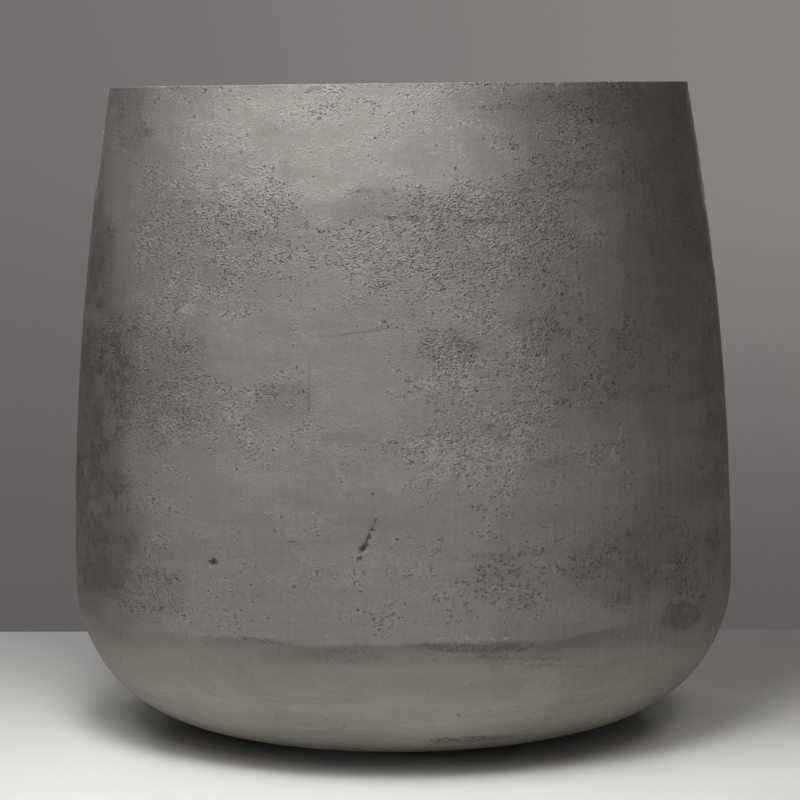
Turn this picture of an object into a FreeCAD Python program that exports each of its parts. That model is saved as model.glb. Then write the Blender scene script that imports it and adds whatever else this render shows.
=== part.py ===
"""Round floor planter: a cast fibre-cement pot on rubber feet, with a waterproof lining and a drain plug.

Millimetres. +Z is up, and the origin is on the floor under the middle of the pot.
Every piece but the feet is a profile turned about the Z axis.
"""

import FreeCAD, Part
import math
import os

from FreeCAD import Vector

# Pot, outside
BELLY_DIAMETER = 600.0  # the widest part
POT_HEIGHT = 570.0  # underside of the base to the top of the rim
RIM_LEAN = 40.0  # how far the rim stands in from the belly
HEEL_RADIUS = 125.0  # rounding from the flat base up into the wall

# Pot, inside
WALL = 12.0
BASE_THICKNESS = 16.0
RIM_THICKENING = 8.0  # how much wider the rim's top is than the wall
RIM_DEPTH = 45.0  # height of the thickened band
RIM_TAPER = 25.0  # height over which the band thins to the wall
RIM_OUTER_EDGE = 2.5  # rounding of the rim's outer edge
RIM_INNER_EDGE = 4.0  # rounding of the rim's inner edge

# Waterproof lining, bonded to the inside of the pot
LINING = 3.0
LINING_BELOW_RIM = 20.0  # bare wall between the rim's taper and the lining's top edge
BOND = 0.2  # bond line between pieces that are cast or glued together

# Drain sleeve, cast into the base
DRAIN_BORE = 32.0
SLEEVE_WALL = 2.5
SLEEVE_FLANGE = 14.0  # how far the flange reaches past the tube

# Drain plug, pressed into the sleeve from inside the pot
PLUG_FIT = 0.15  # radial clearance of the sealing ribs
PLUG_REACH = 13.0  # length inside the sleeve
PLUG_TIP_TAPER = 1.6  # how much the stem's radius shrinks from the head to the tip
PLUG_RIBS = 2
PLUG_RIB_DEPTH = 0.9
PLUG_RIB_SHARE = 0.4  # share of the ribs' spacing that a rib's full radius takes up
PLUG_LAP = 9.0  # how far the head laps onto the flange
PLUG_HEAD_THICKNESS = 5.0
PLUG_NECK_DIAMETER = 13.0
PLUG_NECK_HEIGHT = 6.0
PLUG_KNOB_LAP = 5.5  # how far the knob stands out from the neck
PLUG_KNOB_THICKNESS = 7.0
PLUG_EDGE = 1.2  # rounding of the head and the knob

# Rubber feet, glued under the base
FOOT_COUNT = 4
FOOT_DIAMETER = 44.0
FOOT_HEIGHT = 5.0
FOOT_INSET = 12.0  # between a foot and the edge of the flat base
FOOT_EDGE = 1.2  # rounding where a foot meets the floor
FOOT_FIRST_ANGLE = 45.0

SAME = 1e-3  # levels or radii that are this close are the same

# Levels and radii that follow from the sizes above
belly_r = BELLY_DIAMETER / 2
rim_r = belly_r - RIM_LEAN
lip_r = rim_r - WALL - RIM_THICKENING
base_z = FOOT_HEIGHT
belly_z = base_z + HEEL_RADIUS
rim_z = base_z + POT_HEIGHT
floor_z = base_z + BASE_THICKNESS
band_z = rim_z - RIM_DEPTH
taper_z = band_z - RIM_TAPER
lining_top_z = taper_z - LINING_BELOW_RIM
lining_floor_z = floor_z + BOND + LINING
bore_r = DRAIN_BORE / 2
sleeve_r = bore_r + SLEEVE_WALL
flange_r = sleeve_r + SLEEVE_FLANGE

# The wall is one arc that stands upright at the belly and leans in to the rim
wall_rise = rim_z - belly_z
wall_arc_r = (wall_rise**2 + RIM_LEAN**2) / (2 * RIM_LEAN)
wall_centre = Vector(belly_r - wall_arc_r, 0, belly_z)

# The heel's inner arc is upright at the belly too, and level at the floor
heel_centre = Vector(belly_r - HEEL_RADIUS, 0, belly_z)
inner_heel_r = HEEL_RADIUS - BASE_THICKNESS
inner_heel_centre = Vector(belly_r - WALL - inner_heel_r, 0, belly_z)


def at(radius, height):
    """A point of a profile: its distance from the pot's axis, and its height."""
    return Vector(radius, 0, height)


def line(start, end):
    return Part.LineSegment(start, end).toShape()


def arc(start, centre, end):
    """The short arc about a centre from start to end."""
    radius = start.distanceToPoint(centre)
    towards_middle = (start - centre) + (end - centre)
    middle = centre + towards_middle.normalize() * radius
    return Part.Arc(start, middle, end).toShape()


def on_wall(thickness, height):
    """The point at a height on the wall's arc, moved in by a thickness."""
    radius = wall_arc_r - thickness
    return at(wall_centre.x + math.sqrt(radius**2 - (height - wall_centre.z) ** 2), height)


def polyline(points):
    return [line(start, end) for start, end in zip(points, points[1:])]


def turned(edges):
    """A profile of edges, closed, turned once round the Z axis."""
    face = Part.Face(Part.Wire(edges))
    return face.revolve(Vector(0, 0, 0), Vector(0, 0, 1), 360)


def rings(shape, radius, height):
    """The round edges of a turned shape with this radius, at this height."""
    found = []
    for edge in shape.Edges:
        box = edge.BoundBox
        level = abs(box.ZMin - height) < SAME and abs(box.ZMax - height) < SAME
        if level and abs(box.XMax - radius) < SAME:
            found.append(edge)
    return found


def pot_shell():
    """The casting: base, heel, leaning wall and a rim that is thicker than the wall."""
    hole_r = sleeve_r + BOND
    lip_top = at(lip_r, rim_z)
    lip_thickness = wall_arc_r - lip_top.distanceToPoint(wall_centre)
    lip_bottom = on_wall(lip_thickness, band_z)
    taper_bottom = on_wall(WALL, taper_z)
    inner_belly = at(belly_r - WALL, belly_z)
    outline = [
        line(at(hole_r, base_z), at(heel_centre.x, base_z)),
        arc(at(heel_centre.x, base_z), heel_centre, at(belly_r, belly_z)),
        arc(at(belly_r, belly_z), wall_centre, at(rim_r, rim_z)),
        line(at(rim_r, rim_z), lip_top),
        arc(lip_top, wall_centre, lip_bottom),
        line(lip_bottom, taper_bottom),
        arc(taper_bottom, wall_centre, inner_belly),
        arc(inner_belly, inner_heel_centre, at(inner_heel_centre.x, floor_z)),
        line(at(inner_heel_centre.x, floor_z), at(hole_r, floor_z)),
        line(at(hole_r, floor_z), at(hole_r, base_z)),
    ]
    shell = turned(outline)
    shell = shell.makeFillet(RIM_OUTER_EDGE, rings(shell, rim_r, rim_z))
    return shell.makeFillet(RIM_INNER_EDGE, rings(shell, lip_r, rim_z))


def inner_lining():
    """Fibre mat and resin over the floor and the wall, ending in a bevel below the rim."""
    hole_r = flange_r + BOND
    outer_face = WALL + BOND
    inner_face = outer_face + LINING
    heel_x = inner_heel_centre.x
    outer_belly = at(belly_r - outer_face, belly_z)
    inner_belly = at(belly_r - inner_face, belly_z)
    edge_top = on_wall(outer_face, lining_top_z)
    edge_bottom = on_wall(inner_face, lining_top_z - LINING)
    outline = [
        line(at(hole_r, floor_z + BOND), at(heel_x, floor_z + BOND)),
        arc(at(heel_x, floor_z + BOND), inner_heel_centre, outer_belly),
        arc(outer_belly, wall_centre, edge_top),
        line(edge_top, edge_bottom),
        arc(edge_bottom, wall_centre, inner_belly),
        arc(inner_belly, inner_heel_centre, at(heel_x, lining_floor_z)),
        line(at(heel_x, lining_floor_z), at(hole_r, lining_floor_z)),
        line(at(hole_r, lining_floor_z), at(hole_r, floor_z + BOND)),
    ]
    return turned(outline)


def drain_sleeve():
    """A tube through the base, with a flange on the pot's floor, flush with the lining."""
    corners = [
        at(bore_r, base_z),
        at(sleeve_r, base_z),
        at(sleeve_r, floor_z),
        at(flange_r, floor_z),
        at(flange_r, lining_floor_z),
        at(bore_r, lining_floor_z),
        at(bore_r, base_z),
    ]
    return turned(polyline(corners))


def plug_stem():
    """Corners of the plug's tapered stem, from the head down to the tip, with its sealing ribs."""
    rib_r = bore_r - PLUG_FIT
    stem_r = rib_r - PLUG_RIB_DEPTH
    spacing = PLUG_REACH / (PLUG_RIBS + 1)
    flat = spacing * PLUG_RIB_SHARE
    slope = (spacing - flat) / 3  # a slope above the rib, one below it, and the groove share the rest
    corners = [at(stem_r, lining_floor_z)]
    for rib in range(PLUG_RIBS):
        rib_z = lining_floor_z - (rib + 0.5) * spacing
        groove_r = stem_r - PLUG_TIP_TAPER * rib / PLUG_RIBS
        corners += [
            at(groove_r, rib_z + flat / 2 + slope),
            at(rib_r, rib_z + flat / 2),
            at(rib_r, rib_z - flat / 2),
            at(groove_r, rib_z - flat / 2 - slope),
        ]
    corners.append(at(stem_r - PLUG_TIP_TAPER, lining_floor_z - PLUG_REACH))
    return corners


def drain_plug():
    """A rubber stopper: ribbed stem, flat head on the sleeve's flange, and a knob to pull it by."""
    head_r = bore_r + PLUG_LAP
    neck_r = PLUG_NECK_DIAMETER / 2
    knob_r = neck_r + PLUG_KNOB_LAP
    head_top = lining_floor_z + PLUG_HEAD_THICKNESS
    knob_bottom = head_top + PLUG_NECK_HEIGHT
    knob_top = knob_bottom + PLUG_KNOB_THICKNESS
    tip_z = lining_floor_z - PLUG_REACH
    corners = [at(0, tip_z)] + plug_stem()[::-1]
    corners += [
        at(head_r, lining_floor_z),
        at(head_r, head_top),
        at(neck_r, head_top),
        at(neck_r, knob_bottom),
        at(knob_r, knob_bottom),
        at(knob_r, knob_top),
        at(0, knob_top),
        at(0, tip_z),
    ]
    plug = turned(polyline(corners))
    rounded = rings(plug, head_r, head_top)
    rounded += rings(plug, knob_r, knob_bottom) + rings(plug, knob_r, knob_top)
    return plug.makeFillet(PLUG_EDGE, rounded)


def foot_pad(angle):
    """One rubber disc under the base, at an angle round the pot."""
    foot_r = FOOT_DIAMETER / 2
    circle_r = heel_centre.x - FOOT_INSET - foot_r
    centre = FreeCAD.Rotation(Vector(0, 0, 1), angle).multVec(Vector(circle_r, 0, 0))
    disc = Part.makeCylinder(foot_r, FOOT_HEIGHT)
    disc = disc.makeFillet(FOOT_EDGE, rings(disc, foot_r, 0))
    disc.translate(centre)
    return disc


def pieces():
    """Every piece of the planter, by its node's name."""
    made = {
        "pot_shell": pot_shell(),
        "inner_lining": inner_lining(),
        "drain_sleeve": drain_sleeve(),
        "drain_plug": drain_plug(),
    }
    for number in range(FOOT_COUNT):
        angle = FOOT_FIRST_ANGLE + 360.0 * number / FOOT_COUNT
        made[f"foot_pad_{number + 1}"] = foot_pad(angle)
    return made


os.makedirs("parts", exist_ok=True)
for name, shape in pieces().items():
    shape.exportStep(os.path.join("parts", name + ".step"))
    box = shape.optimalBoundingBox()
    print(
        f"{name}: valid {shape.isValid()}, solids {len(shape.Solids)}, {shape.Volume / 1e6:.4f} litres,"
        f" {box.XLength:.1f} x {box.YLength:.1f} x {box.ZLength:.1f}, z {box.ZMin:.2f} to {box.ZMax:.2f}"
    )
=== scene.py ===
"""Looks of a round floor planter: cast fibre cement, its lining, drain and feet, on a pale floor."""

import math

import bpy
import numpy
from mathutils import Euler, Matrix, Vector, noise


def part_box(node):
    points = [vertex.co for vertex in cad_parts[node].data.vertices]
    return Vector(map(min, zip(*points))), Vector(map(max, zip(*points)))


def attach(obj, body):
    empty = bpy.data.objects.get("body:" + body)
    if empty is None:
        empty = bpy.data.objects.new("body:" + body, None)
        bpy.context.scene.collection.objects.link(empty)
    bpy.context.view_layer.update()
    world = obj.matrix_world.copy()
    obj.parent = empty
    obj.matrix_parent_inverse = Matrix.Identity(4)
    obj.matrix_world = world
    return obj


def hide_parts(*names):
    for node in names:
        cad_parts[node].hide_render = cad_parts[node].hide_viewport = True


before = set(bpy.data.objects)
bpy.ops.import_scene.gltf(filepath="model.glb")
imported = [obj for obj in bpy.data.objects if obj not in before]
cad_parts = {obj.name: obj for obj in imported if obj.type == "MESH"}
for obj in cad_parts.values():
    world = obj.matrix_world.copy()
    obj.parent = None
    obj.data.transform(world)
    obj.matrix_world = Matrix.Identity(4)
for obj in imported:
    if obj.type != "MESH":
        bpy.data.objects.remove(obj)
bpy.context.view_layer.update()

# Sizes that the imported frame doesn't give, in metres
RIM_LEAN = 0.040
HEEL_RADIUS = 0.125
WALL = 0.012
BASE_THICKNESS = 0.016
RIM_WIDTH = 0.020
RIM_DEPTH = 0.045
RIM_TAPER = 0.025
RIM_OUTER_EDGE = 0.0025
RIM_INNER_EDGE = 0.004
LINING = 0.003
BOND = 0.0002
DRAIN_BORE_R = 0.016
SLEEVE_WALL = 0.0025
PLUG_FIT = 0.00015
PLUG_RIBS = 2
PLUG_RIB_DEPTH = 0.0009
PLUG_RIB_SHARE = 0.4
PLUG_TIP_TAPER = 0.0016
PLUG_HEAD_THICKNESS = 0.005
PLUG_NECK_R = 0.0065
PLUG_NECK_HEIGHT = 0.006
PLUG_KNOB_R = 0.012
SOFT_EDGE = 0.0002  # rounding of the small edges of moulded rubber
FOOT_NAMES = ["foot_pad_1", "foot_pad_2", "foot_pad_3", "foot_pad_4"]

# The coat on the wall ends in a low, wavy lip just below the belly
LIP_HEIGHT = 0.117
LIP_DEPTH = 0.0009
LIP_WAVE = 0.018  # how far the lip wanders up and down
LIP_EDGE = 0.002  # half the height of the lip's step
LIP_KEPT = 0.25  # share of the lip that is left at the sides
LIP_SIDE = (0.060, 0.015)  # squares of the sideways places between which the lip fades in
HEEL_EVEN = (0.025, 0.085)  # heights between which the heel turns from even to wavy
HEEL_KEPT = 0.15  # share of the waves that is left at the base
CHIPPED_EDGE = 0.006  # height of the band under the rim's top where chips lie

# Colours of the finishes
DARK_CEMENT = (0.108, 0.096, 0.083, 1)
PALE_CEMENT = (0.352, 0.337, 0.312, 1)
# Tint of the heel: partly its own warm colour, partly painted bounce light from the floor
WARM_HEEL_AND_BOUNCE = (1.03, 1.0, 0.88, 1)
VOID_SHADOW = (0.030, 0.027, 0.024, 1)
PLUG_BLACK = (0.028, 0.028, 0.030, 1)
FOOT_BLACK = (0.032, 0.031, 0.031, 1)
DARK_RESIN = (0.040, 0.040, 0.038, 1)
PALE_RESIN = (0.088, 0.087, 0.083, 1)
FIBRE_STRAND = (0.150, 0.146, 0.132, 1)
RESIN_DUST = (0.170, 0.158, 0.138, 1)
DARK_PLASTIC = (0.165, 0.165, 0.170, 1)
PALE_PLASTIC = (0.230, 0.230, 0.234, 1)
PLASTIC_SCUFF = (0.300, 0.298, 0.295, 1)
PLASTIC_DUST = (0.210, 0.196, 0.172, 1)

# Mottling of the cement, from clouds as wide as a hand down to grains of sand:
# stretch along X, Y and Z, scale, detail, roughness
MOTTLING = {
    "clouds": ((1, 1, 1.5), 7.0, 2.0, 0.5),
    "bands": ((1, 1, 7), 9.0, 4.0, 0.6),
    "blotches": ((1, 1, 1.6), 26.0, 4.0, 0.65),
    "crumbs": ((1, 1, 1.2), 150.0, 3.0, 0.7),
    "sand": ((1, 1, 1), 720.0, 1.0, 0.7),
    "layers": ((1, 1, 9), 40.0, 3.0, 0.6),
    "brushed": ((260, 260, 8), 1.0, 1.0, 0.5),
}
SKIM_SCALE = 15.0
PIT_SCALE = 500.0
PORE_SCALE = 200.0

# Broad patches of the cast wall, seen from the front, and turned half round for the back:
# sideways place, height, half width, half height, tone (pale above 0), pitting (smooth below 0)
PATCHES = [
    (-0.060, 0.525, 0.135, 0.050, 0.24, -0.30),  # pale field under the rim
    (-0.060, 0.560, 0.022, 0.010, 0.06, 0.60),  # beads of cement at the rim
    (-0.236, 0.552, 0.020, 0.024, -0.22, 0.10),
    (0.165, 0.556, 0.080, 0.012, -0.12, 0.20),
    (0.165, 0.535, 0.045, 0.050, -0.03, 0.40),
    (-0.050, 0.450, 0.175, 0.033, 0.05, 0.30),  # dark course round the shoulder
    (-0.160, 0.468, 0.065, 0.060, 0.06, 0.75),
    (-0.045, 0.438, 0.055, 0.014, 0.06, 0.60),
    (0.075, 0.450, 0.065, 0.036, 0.08, 0.95),
    (-0.235, 0.437, 0.014, 0.055, 0.06, -0.60),
    (-0.180, 0.393, 0.045, 0.026, 0.12, 0.50),  # pale flecks over the dark flank
    (-0.215, 0.330, 0.055, 0.050, -0.06, 0.90),
    (-0.130, 0.305, 0.060, 0.025, 0.12, 0.60),
    (-0.135, 0.365, 0.030, 0.022, 0.10, -0.60),  # trowelled smooth, with a dark end
    (-0.091, 0.319, 0.024, 0.016, -0.22, -0.50),
    (-0.045, 0.345, 0.045, 0.040, 0.03, -0.30),
    (0.043, 0.353, 0.024, 0.012, -0.15, 0.80),
    (0.068, 0.320, 0.048, 0.070, 0.20, 0.90),  # rough field right of the middle
    (0.035, 0.275, 0.060, 0.026, 0.12, 0.70),
    (0.150, 0.345, 0.050, 0.045, -0.06, 0.40),
    (0.215, 0.270, 0.037, 0.038, 0.08, -0.80),  # one broad stroke of the trowel
    (-0.133, 0.228, 0.055, 0.035, 0.01, -0.70),
    (0.000, 0.238, 0.110, 0.030, 0.01, -0.30),
    # painted shade: the left and right sides of the wall darker, where the light falls away from them
    (-0.300, 0.290, 0.070, 0.190, -0.34, 0.00),
    (0.255, 0.320, 0.080, 0.230, -0.17, 0.00),
    (0.310, 0.290, 0.050, 0.240, -0.12, 0.00),
    (-0.290, 0.215, 0.060, 0.080, -0.12, 0.00),
    (0.000, 0.474, 0.042, 0.014, -0.12, 0.30),
    (0.122, 0.420, 0.022, 0.120, -0.10, 0.00),
    (0.195, 0.168, 0.062, 0.027, -0.16, 0.20),  # damp tones above the heel
    (-0.222, 0.155, 0.042, 0.026, -0.15, 0.20),
    (0.100, 0.172, 0.055, 0.028, -0.02, 0.30),
    (0.238, 0.121, 0.020, 0.011, -0.32, 0.20),
    # painted shade: darker at the right of the heel, and the lower wall a little darker as a whole
    (0.210, 0.065, 0.090, 0.045, -0.09, 0.00),
    (0.000, 0.170, 0.240, 0.060, -0.05, 0.00),
]
PATCH_SEED = 1795859466  # keeps the patches' outlines the same in every run

# Voids left by air in the casting:
# sideways place, height, half length, half width, tilt in degrees, depth
VOIDS_MARGIN = (0.012, 0.008)  # how far the finer mesh reaches below and above them
VOIDS = [
    (-0.0219, 0.2211, 0.0026, 0.0018, 40, 0.0010),
    (-0.0250, 0.2146, 0.0034, 0.0017, 20, 0.0014),
    (-0.0284, 0.2076, 0.0046, 0.0021, 62, 0.0016),
    (-0.0322, 0.1996, 0.0062, 0.0025, 58, 0.0022),
    (-0.0360, 0.1909, 0.0030, 0.0015, 70, 0.0010),
    (-0.1574, 0.1817, 0.0044, 0.0030, 0, 0.0026),
]

# Ragged marks: sideways place, height, half length, half width, tilt in degrees, tone
STREAKS = [
    (0.076, 0.5538, 0.040, 0.0028, 0, -0.35),  # level trowel lines
    (0.080, 0.5287, 0.022, 0.0028, 0, -0.30),
    (-0.119, 0.5322, 0.014, 0.0018, 4, -0.35),
    (-0.212, 0.5348, 0.006, 0.0060, 60, -0.30),
    (-0.070, 0.5690, 0.010, 0.0030, 10, -0.50),
    (0.154, 0.4874, 0.050, 0.0040, 0, -0.15),
    (-0.024, 0.4867, 0.026, 0.0035, 0, -0.35),
    (-0.162, 0.4774, 0.034, 0.0028, -3, -0.35),
    (-0.100, 0.4740, 0.040, 0.0030, 0, -0.18),
    (0.036, 0.4635, 0.055, 0.0035, -2, -0.32),
    (-0.118, 0.4504, 0.032, 0.0050, -8, -0.28),
    (0.016, 0.4382, 0.020, 0.0025, 0, -0.30),
    (0.097, 0.4243, 0.013, 0.0040, -10, -0.35),  # clumps of open pores
    (0.118, 0.4187, 0.008, 0.0035, -20, -0.50),
    (-0.049, 0.2906, 0.030, 0.0080, 0, -0.12),
    (0.134, 0.2656, 0.026, 0.0060, 4, -0.30),
    (0.1665, 0.2645, 0.008, 0.0040, 0, -0.30),
    (0.210, 0.3179, 0.026, 0.0060, -6, -0.28),
    (0.0785, 0.1899, 0.060, 0.0040, 0, -0.18),
    (0.085, 0.1805, 0.020, 0.0110, 0, -0.18),
    (-0.188, 0.1641, 0.012, 0.0150, 0, -0.25),
    (0.058, 0.1155, 0.056, 0.0050, -3, -0.65),  # crumbled edge of the lip
    (0.055, 0.1230, 0.050, 0.0018, -3, 0.30),
    (-0.047, 0.1090, 0.045, 0.0090, 0, -0.18),
    (-0.122, 0.1205, 0.020, 0.0020, -4, -0.35),
    (0.090, 0.1045, 0.060, 0.0022, -6, -0.30),  # worn courses on the heel
    (0.115, 0.0955, 0.050, 0.0018, -8, -0.25),
    (-0.060, 0.0700, 0.050, 0.0035, 6, -0.15),
    (0.060, 0.0275, 0.045, 0.0045, 0, -0.80),
    (0.030, 0.0290, 0.012, 0.0040, 0, -0.80),
    (-0.225, 0.0500, 0.022, 0.0016, -12, -0.35),
    (0.2380, 0.1210, 0.0180, 0.0100, 0, -0.20),  # one dark blotch at the lip
]

# Clean scratches, edges of trowel strokes and spots of smooth slurry: the same sizes
SCRATCHES = [
    (-0.0906, 0.2034, 0.0052, 0.0011, 0, -0.90),
    (-0.1253, 0.1661, 0.0018, 0.0014, 0, -0.90),
    (-0.1456, 0.3860, 0.0062, 0.0009, 45, -0.50),
    (-0.0375, 0.3735, 0.0400, 0.0008, 7.4, -0.35),
    (-0.0750, 0.3285, 0.0280, 0.0008, 88, -0.25),
    (0.0804, 0.2193, 0.0280, 0.0008, 90, -0.14),
    (0.0770, 0.2193, 0.0280, 0.0008, 90, 0.10),
    (0.1745, 0.2700, 0.0080, 0.0012, 60, 0.60),
    (0.1810, 0.2830, 0.0110, 0.0010, 72, 0.45),
    (0.1760, 0.2630, 0.0060, 0.0040, 40, 0.20),
    (-0.1650, 0.4905, 0.0065, 0.0060, 0, 0.28),
    (-0.1459, 0.4907, 0.0050, 0.0050, 0, 0.24),
    (-0.1673, 0.4060, 0.0070, 0.0060, 0, 0.20),
    (-0.1745, 0.3893, 0.0110, 0.0070, 10, 0.24),
]

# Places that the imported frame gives
shell_low, shell_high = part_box("pot_shell")
lining_low, lining_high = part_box("inner_lining")
_, sleeve_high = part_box("drain_sleeve")
plug_low, plug_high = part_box("drain_plug")
belly_r = min(shell_high.x, shell_high.y)
base_z = shell_low.z
rim_z = shell_high.z
floor_z = base_z + BASE_THICKNESS
seat_z = sleeve_high.z
belly_z = base_z + HEEL_RADIUS
rim_r = belly_r - RIM_LEAN
sleeve_r = DRAIN_BORE_R + SLEEVE_WALL

# The wall is one long arc, upright at the belly and leaning in to the rim
wall_rise = rim_z - belly_z
wall_arc_r = (wall_rise**2 + RIM_LEAN**2) / (2 * RIM_LEAN)
wall_centre = (belly_r - wall_arc_r, belly_z)
inner_heel_r = HEEL_RADIUS - BASE_THICKNESS
inner_heel = (belly_r - WALL - inner_heel_r, belly_z)


class Board:
    """A node tree, with one way to add a node to it."""

    def __init__(self, tree):
        self.tree = tree

    def add(self, kind, settings=None, sockets=None, output=0):
        """Adds a node, sets it, fills or links its sockets, and returns one of its outputs."""
        node = self.tree.nodes.new(kind)
        for name, value in (settings or {}).items():
            setattr(node, name, value)
        for name, value in (sockets or {}).items():
            self.feed(node.inputs[name], value)
        return Signal(self, node.outputs[output]) if node.outputs else node

    def feed(self, socket, value):
        if isinstance(value, Signal):
            self.tree.links.new(value.socket, socket)
        else:
            socket.default_value = value

    def vector(self, operation, first, second=(0, 0, 0), output=0):
        return self.add("ShaderNodeVectorMath", {"operation": operation}, {0: first, 1: second}, output)

    def ease(self, value, low, high):
        """Rises smoothly from 0 where the value is low to 1 where it is high."""
        settings = {"interpolation_type": "SMOOTHSTEP"}
        sockets = {"Value": value, "From Min": low, "From Max": high}
        return self.add("ShaderNodeMapRange", settings, sockets)

    def noise(self, place, scale, detail=2.0, roughness=0.5, distortion=0.0):
        sockets = {"Vector": place, "Scale": scale, "Detail": detail}
        sockets.update({"Roughness": roughness, "Distortion": distortion})
        return self.add("ShaderNodeTexNoise", {}, sockets)

    def mottle(self, place, stretch, scale, detail=2.0, roughness=0.5):
        """Noise about 0, stretched along the axes."""
        return self.noise(self.vector("MULTIPLY", place, stretch), scale, detail, roughness) - 0.5

    def stray(self, place, around, reach, scale, detail=2.0, roughness=0.5):
        """A place moved by up to half of reach along each axis, as noise around another place says."""
        moved = self.noise(around, scale, detail, roughness).beside("Color")
        moved = self.vector("SUBTRACT", moved, (0.5, 0.5, 0.5))
        return self.vector("ADD", place, self.vector("MULTIPLY", moved, reach))

    def part_of(self, place, axis):
        """One of a place's coordinates."""
        return self.add("ShaderNodeSeparateXYZ", {}, {"Vector": place}, axis)

    def blend(self, share, first, second, how="MIX"):
        """Mixes two colours."""
        settings = {"data_type": "RGBA", "blend_type": how}
        return self.add("ShaderNodeMix", settings, {0: share, 6: first, 7: second}, 2)


class Signal:
    """A socket's value. Arithmetic on it adds Math nodes."""

    def __init__(self, board, socket):
        self.board = board
        self.socket = socket

    def beside(self, output):
        """Another output of the same node."""
        return Signal(self.board, self.socket.node.outputs[output])

    def maths(self, operation, first, second=0.0):
        return self.board.add("ShaderNodeMath", {"operation": operation}, {0: first, 1: second})

    def __add__(self, other):
        return self.maths("ADD", self, other)

    def __sub__(self, other):
        return self.maths("SUBTRACT", self, other)

    def __rsub__(self, other):
        return self.maths("SUBTRACT", other, self)

    def __mul__(self, other):
        return self.maths("MULTIPLY", self, other)

    def __truediv__(self, other):
        return self.maths("DIVIDE", self, other)

    def __mod__(self, other):
        return self.maths("MODULO", self, other)

    def __neg__(self):
        return self.maths("MULTIPLY", self, -1.0)

    __radd__ = __add__
    __rmul__ = __mul__


# Outlines: lists of (distance from the axis, height) points


def run(start, end, steps):
    """Points from start to end, without the end."""
    shares = [step / steps for step in range(steps)]
    return [tuple(a + (b - a) * share for a, b in zip(start, end)) for share in shares]


def arc(centre, radius, start, end, steps):
    """Points on an arc from one angle to another, in degrees, without the end."""
    points = []
    for step in range(steps):
        angle = math.radians(start + (end - start) * step / steps)
        points.append((centre[0] + radius * math.cos(angle), centre[1] + radius * math.sin(angle)))
    return points


def angle_from(centre, point):
    return math.degrees(math.atan2(point[1] - centre[1], point[0] - centre[0]))


def on_wall(thickness, height):
    """The point at a height on the wall's arc, moved in by a thickness."""
    radius = wall_arc_r - thickness
    return (wall_centre[0] + math.sqrt(radius**2 - (height - wall_centre[1]) ** 2), height)


def rounded(corners, steps=5):
    """An outline through corners of (distance, height, rounding), with an arc at each rounded one."""
    outline = []
    for before, corner, after in zip([None] + corners[:-1], corners, corners[1:] + [None]):
        place = Vector(corner[:2])
        if before is None or after is None or corner[2] == 0:
            outline.append(tuple(place))
            continue
        back = (Vector(before[:2]) - place).normalized()
        on = (Vector(after[:2]) - place).normalized()
        half = back.angle(on) / 2
        middle = place + (back + on).normalized() * (corner[2] / math.sin(half))
        reach = corner[2] / math.tan(half)
        first = place + back * reach - middle
        last = place + on * reach - middle
        for step in range(steps + 1):
            toward = first.slerp(last, step / steps).normalized()
            outline.append(tuple(middle + toward * corner[2]))
    return outline


def stretches_outline(stretches):
    """Joins stretches of (share open to the air, points) into one closed outline and its shares."""
    outline = [point for _, points in stretches for point in points]
    open_air = [share for share, points in stretches for _ in points]
    return outline + outline[:1], open_air + open_air[:1]


def shell_outline():
    """The casting: base, heel, leaning wall, thick rim, and the inside that the lining covers."""
    hole_r = sleeve_r + BOND
    heel = (belly_r - HEEL_RADIUS, belly_z)
    lip_arc_r = math.hypot(rim_r - RIM_WIDTH - wall_centre[0], rim_z - wall_centre[1])
    lip = wall_arc_r - lip_arc_r
    outer_edge = on_wall(RIM_OUTER_EDGE, rim_z - RIM_OUTER_EDGE)
    inner_edge = on_wall(lip - RIM_INNER_EDGE, rim_z - RIM_INNER_EDGE)
    lip_foot = on_wall(lip, rim_z - RIM_DEPTH)
    taper_foot = on_wall(WALL, rim_z - RIM_DEPTH - RIM_TAPER)
    lining_edge = on_wall(WALL, lining_high.z - 5 * LINING)
    voids_foot = angle_from(wall_centre, on_wall(0, min(void[1] for void in VOIDS) - VOIDS_MARGIN[0]))
    voids_top = angle_from(wall_centre, on_wall(0, max(void[1] for void in VOIDS) + VOIDS_MARGIN[1]))
    outer_lean = angle_from(wall_centre, outer_edge)
    inner_lean = angle_from(wall_centre, inner_edge)
    lip_lean = angle_from(wall_centre, lip_foot)
    taper_lean = angle_from(wall_centre, taper_foot)
    edge_lean = angle_from(wall_centre, lining_edge)
    return stretches_outline([
        (0, run((hole_r, base_z), (heel[0], base_z), 8)),
        (1, arc(heel, HEEL_RADIUS, -90, -18, 26)),
        (1, arc(heel, HEEL_RADIUS, -18, 0, 18)),
        (1, arc(wall_centre, wall_arc_r, 0, voids_foot, 8)),
        (1, arc(wall_centre, wall_arc_r, voids_foot, voids_top, 36)),
        (1, arc(wall_centre, wall_arc_r, voids_top, outer_lean, 68)),
        (1, arc(outer_edge, RIM_OUTER_EDGE, outer_lean, 90, 5)),
        (1, run((outer_edge[0], rim_z), (inner_edge[0], rim_z), 5)),
        (1, arc(inner_edge, RIM_INNER_EDGE, 90, 180 + inner_lean, 6)),
        (1, arc(wall_centre, lip_arc_r, inner_lean, lip_lean, 9)),
        (1, run(lip_foot, taper_foot, 6)),
        (1, arc(wall_centre, wall_arc_r - WALL, taper_lean, edge_lean, 7)),
        (0, arc(wall_centre, wall_arc_r - WALL, edge_lean, 0, 6)),
        (0, arc(inner_heel, inner_heel_r, 0, -90, 8)),
        (0, run((inner_heel[0], floor_z), (hole_r, floor_z), 3)),
        (0, run((hole_r, floor_z), (hole_r, base_z), 2)),
    ])


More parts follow.
